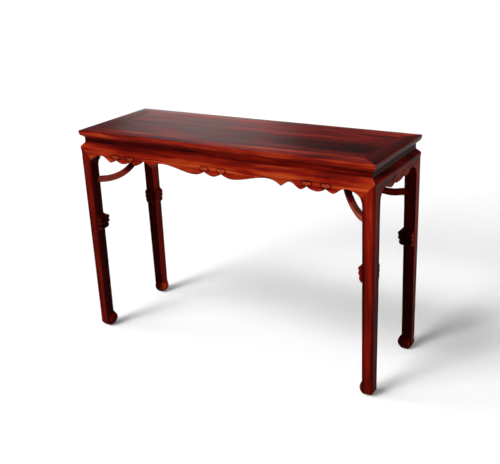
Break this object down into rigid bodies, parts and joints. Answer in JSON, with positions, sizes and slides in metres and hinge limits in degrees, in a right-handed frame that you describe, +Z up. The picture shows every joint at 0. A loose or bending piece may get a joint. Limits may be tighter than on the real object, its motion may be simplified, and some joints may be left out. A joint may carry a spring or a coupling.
{
  "type": "altar table",
  "caption": "Long narrow altar table: framed floating-panel top over a recessed waist, scalloped aprons, curved corner braces and tapering legs with small hoof feet.",
  "frame": {"origin": "on the floor, under the centre of the top", "axes": "+X along the length to the right, -Y towards the front, +Z up"},
  "size_m": [1.242, 0.422, 0.85],
  "materials": {
    "top_frame_rosewood": "semi-gloss oil and wax over straight-grained dark red rosewood",
    "panel_rosewood": "semi-gloss oil and wax over wide-grained dark red rosewood",
    "apron_rosewood": "semi-gloss, grain along the length, edges worn brighter",
    "leg_rosewood": "semi-gloss, grain upright, edges worn brighter",
    "brace_rosewood": "semi-gloss, grain along the curve",
    "inner_rosewood": "plain unpolished rosewood"
  },
  "bodies": {
    "root": {"apron_front": "apron_rosewood", "apron_left": "apron_rosewood", "apron_rear": "apron_rosewood", "apron_right": "apron_rosewood", "batten_centre": "inner_rosewood", "batten_left": "inner_rosewood", "batten_right": "inner_rosewood", "brace_front_left": "brace_rosewood", "brace_front_right": "brace_rosewood", "brace_peg_front_left": "inner_rosewood", "brace_peg_front_right": "inner_rosewood", "brace_peg_rear_left": "inner_rosewood", "brace_peg_rear_right": "inner_rosewood", "brace_rear_left": "brace_rosewood", "brace_rear_right": "brace_rosewood", "brace_wedge_front_left": "inner_rosewood", "brace_wedge_front_right": "inner_rosewood", "brace_wedge_rear_left": "inner_rosewood", "brace_wedge_rear_right": "inner_rosewood", "leg_front_left": "leg_rosewood", "leg_front_right": "leg_rosewood", "leg_rear_left": "leg_rosewood", "leg_rear_right": "leg_rosewood", "panel_board_front": "panel_rosewood", "panel_board_rear": "panel_rosewood", "top_end_rail_left": "top_frame_rosewood", "top_end_rail_right": "top_frame_rosewood", "top_rail_front": "top_frame_rosewood", "top_rail_rear": "top_frame_rosewood", "waist_front": "apron_rosewood", "waist_left": "apron_rosewood", "waist_rear": "apron_rosewood", "waist_right": "apron_rosewood"}
  },
  "joints": []
}
